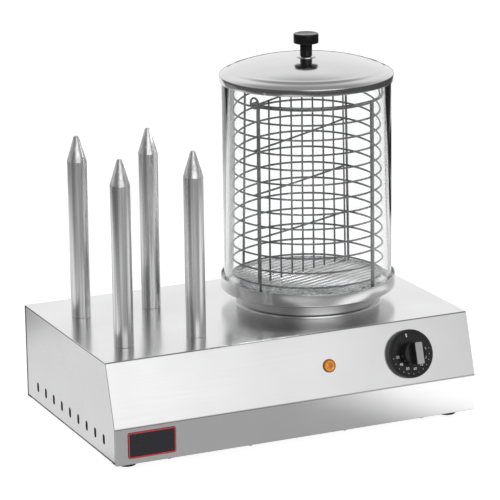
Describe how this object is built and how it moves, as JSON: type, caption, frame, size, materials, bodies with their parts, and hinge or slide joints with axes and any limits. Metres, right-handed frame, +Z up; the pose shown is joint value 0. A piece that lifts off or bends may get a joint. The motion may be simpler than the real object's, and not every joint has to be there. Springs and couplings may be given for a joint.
{
  "type": "hot dog steamer with bun spikes",
  "caption": "Stainless counter-top hot dog steamer: glass steam cylinder with wire basket and domed lid beside heated bun spikes, thermostat dial and pilot lamp on the sloping front.",
  "frame": {"origin": "middle of the overall box's underside: on the worktop, under the middle of the casing, with the dial's front overhang and the gland's rear overhang equal", "axes": "+X along the casing's width towards the glass cylinder, +Y to the rear (away from the sloping control face), +Z up"},
  "size_m": [0.455, 0.3282, 0.4441],
  "materials": {
    "steel_satin": "satin stainless sheet",
    "steel_inner": "drawn stainless",
    "steel_pan": "spun satin stainless",
    "steel_lid": "polished stainless",
    "galvanised": "zinc coated sheet",
    "zinc_screws": "zinc plated",
    "aluminium_spike": "satin turned",
    "heater_sheath": "heat-tinted sheath",
    "basket_wire": "bright drawn wire",
    "clear_glass": "clear borosilicate",
    "seat_silicone": "translucent silicone",
    "foot_rubber": "black rubber",
    "black_plastic": "black phenolic",
    "grey_inlay": "light grey strip",
    "badge_dark": "plain dark plate with a thin light rim",
    "amber_lens": "translucent amber",
    "lamp_black": "black nylon",
    "block_cream": "cream moulding",
    "cutout_brown": "brown phenolic",
    "bulb_copper": "copper bulb and capillary",
    "loom_red": "silicone covered leads",
    "stud_brass": "plain brass"
  },
  "bodies": {
    "base": {"casing_wrap": "steel_satin", "left_end_panel": "steel_satin", "right_end_panel": "steel_satin", "bottom_plate": "galvanised", "rubber_feet": "foot_rubber", "foot_screws": "zinc_screws", "panel_screws": "zinc_screws", "boiler_tank": "steel_inner", "tank_flange": "steel_inner", "neck_trim_ring": "steel_inner", "boiler_heater": "heater_sheath", "heater_clamp_plate": "galvanised", "thermal_cutout": "cutout_brown", "spike_rear_left": "aluminium_spike", "spike_front_left": "aluminium_spike", "spike_rear_right": "aluminium_spike", "spike_front_right": "aluminium_spike", "spike_heaters": "heater_sheath", "spike_nuts": "zinc_screws", "thermostat_body": "block_cream", "thermostat_screws": "zinc_screws", "thermostat_bulb": "bulb_copper", "pilot_lamp_lens": "amber_lens", "pilot_lamp_body": "lamp_black", "pilot_lamp_nut": "lamp_black", "terminal_block": "block_cream", "wiring_loom": "loom_red", "cable_gland": "lamp_black", "gland_locknut": "lamp_black", "earth_stud": "stud_brass", "badge_plate": "badge_dark"},
    "pan": {"steam_pan": "steel_pan", "steam_plate": "steel_pan", "glass_gasket": "seat_silicone"},
    "glass": {"glass_cylinder": "clear_glass"},
    "basket": {"basket_cage": "basket_wire", "basket_divider": "basket_wire", "basket_floor_rack": "basket_wire", "bail_eyes": "basket_wire"},
    "bail": {"basket_bail": "basket_wire"},
    "lid": {"lid_shell": "steel_lid", "lid_knob": "black_plastic", "knob_washer": "steel_lid", "knob_screw": "zinc_screws"},
    "dial": {"dial_skirt": "black_plastic", "dial_grip": "black_plastic", "grip_inlay": "grey_inlay", "dial_spindle": "zinc_screws"}
  },
  "joints": [
    {"name": "pan_lift", "type": "slide", "parent": "base", "child": "pan", "axis": [0, 0, 1], "range_m": [0, 0.06]},
    {"name": "glass_lift", "type": "slide", "parent": "pan", "child": "glass", "axis": [0, 0, 1], "range_m": [0, 0.1]},
    {"name": "basket_lift", "type": "slide", "parent": "glass", "child": "basket", "axis": [0, 0, 1], "range_m": [0, 0.26]},
    {"name": "lid_lift", "type": "slide", "parent": "basket", "child": "lid", "axis": [0, 0, 1], "range_m": [0, 0.16]},
    {"name": "bail_swing", "type": "hinge", "parent": "basket", "child": "bail", "pos_m": [0.088, 0.018, 0.3731], "axis": [-0.9367, -0.3502, 0], "range_deg": [0, 90]},
    {"name": "thermostat_turn", "type": "hinge", "parent": "base", "child": "dial", "pos_m": [0.1455, -0.13226, 0.0852], "axis": [0, 0.9541, -0.2995], "range_deg": [0, 270]}
  ],
  "couplings": [
    {"joint": "bail_swing", "follows": "lid_lift", "rad_per_m": 9.8}
  ]
}
